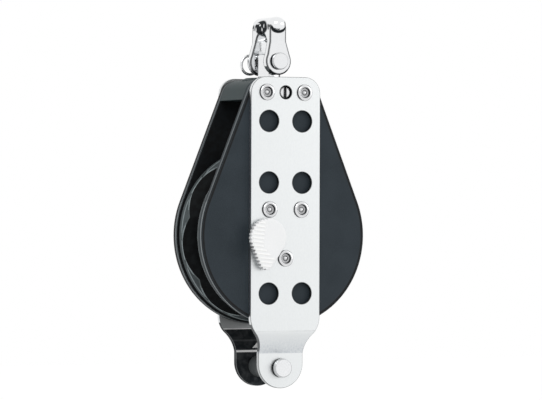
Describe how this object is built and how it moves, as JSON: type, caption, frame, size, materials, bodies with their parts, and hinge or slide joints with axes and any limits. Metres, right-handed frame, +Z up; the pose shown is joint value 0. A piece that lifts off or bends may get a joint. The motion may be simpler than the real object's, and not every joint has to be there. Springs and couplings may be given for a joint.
{
  "type": "ratchet block",
  "caption": "Single sheave sailing block with a ratchet: stainless straps over black cheeks, thumb switch, swivel shackle and a becket.",
  "frame": {"origin": "centre of the sheave, on its axle", "axes": "+X across the block, +Y along the axle away from the switch, +Z up towards the shackle"},
  "size_m": [0.077, 0.0379, 0.1591],
  "materials": {
    "satin_stainless": "satin, fine grain along the strap",
    "polished_stainless": "polished forging",
    "rivet_stainless": "bright drawn",
    "black_cheek": "matte, slate black",
    "head_moulding": "satin, dark grey",
    "hub_moulding": "matte",
    "black_anodised": "black hard anodised, satin",
    "ratchet_bronze": "machined",
    "ratchet_steel": "machined",
    "ball_steel": "polished",
    "white_switch": "moulded, semi gloss",
    "grey_sleeve": "moulded, satin"
  },
  "bodies": {
    "shackle": {"shackle": "polished_stainless"},
    "post": {"swivel_post": "polished_stainless", "shackle_pin": "polished_stainless", "shackle_ring": "rivet_stainless"},
    "frame": {"front_strap": "satin_stainless", "rear_strap": "satin_stainless", "front_cheek": "black_cheek", "rear_cheek": "black_cheek", "head_block": "head_moulding", "head_rivets": "rivet_stainless", "hub_rivets": "rivet_stainless", "set_screw": "rivet_stainless", "hub": "hub_moulding", "thrust_washer": "white_switch", "pawl_pin": "rivet_stainless", "pawl_spring": "ratchet_steel", "becket_pin": "polished_stainless", "becket_ring": "rivet_stainless"},
    "sheave": {"sheave": "black_anodised", "ratchet_ring": "ratchet_bronze"},
    "balls": {"front_balls": "ball_steel", "rear_balls": "ball_steel"},
    "switch": {"switch_knob": "white_switch", "switch_crank": "ratchet_steel"},
    "pawl": {"pawl": "ratchet_steel"},
    "sleeve": {"becket_sleeve": "grey_sleeve"}
  },
  "joints": [
    {"name": "shackle_hinge", "type": "hinge", "parent": "shackle", "child": "post", "pos_m": [0, 0, 0.0747], "axis": [0, 1, 0], "range_deg": [-90, 90]},
    {"name": "swivel", "type": "hinge", "parent": "post", "child": "frame", "pos_m": [0, 0, 0.062], "axis": [0, 0, 1], "continuous": true},
    {"name": "sheave_spin", "type": "hinge", "parent": "frame", "child": "sheave", "pos_m": [0, 0, 0], "axis": [0, 1, 0], "continuous": true},
    {"name": "ball_orbit", "type": "hinge", "parent": "frame", "child": "balls", "pos_m": [0, 0, 0], "axis": [0, 1, 0], "continuous": true},
    {"name": "switch_turn", "type": "hinge", "parent": "frame", "child": "switch", "pos_m": [-0.0096, 0, -0.001], "axis": [0, 1, 0], "range_deg": [0, 90]},
    {"name": "pawl_swing", "type": "hinge", "parent": "frame", "child": "pawl", "pos_m": [-0.01, 0, -0.0143], "axis": [0, -1, 0], "range_deg": [0, 12]},
    {"name": "sleeve_spin", "type": "hinge", "parent": "frame", "child": "sleeve", "pos_m": [0, 0, -0.0566], "axis": [0, 1, 0], "continuous": true}
  ],
  "couplings": [
    {"joint": "ball_orbit", "follows": "sheave_spin", "ratio": 0.57744},
    {"joint": "pawl_swing", "follows": "switch_turn", "ratio": 0.13333}
  ]
}
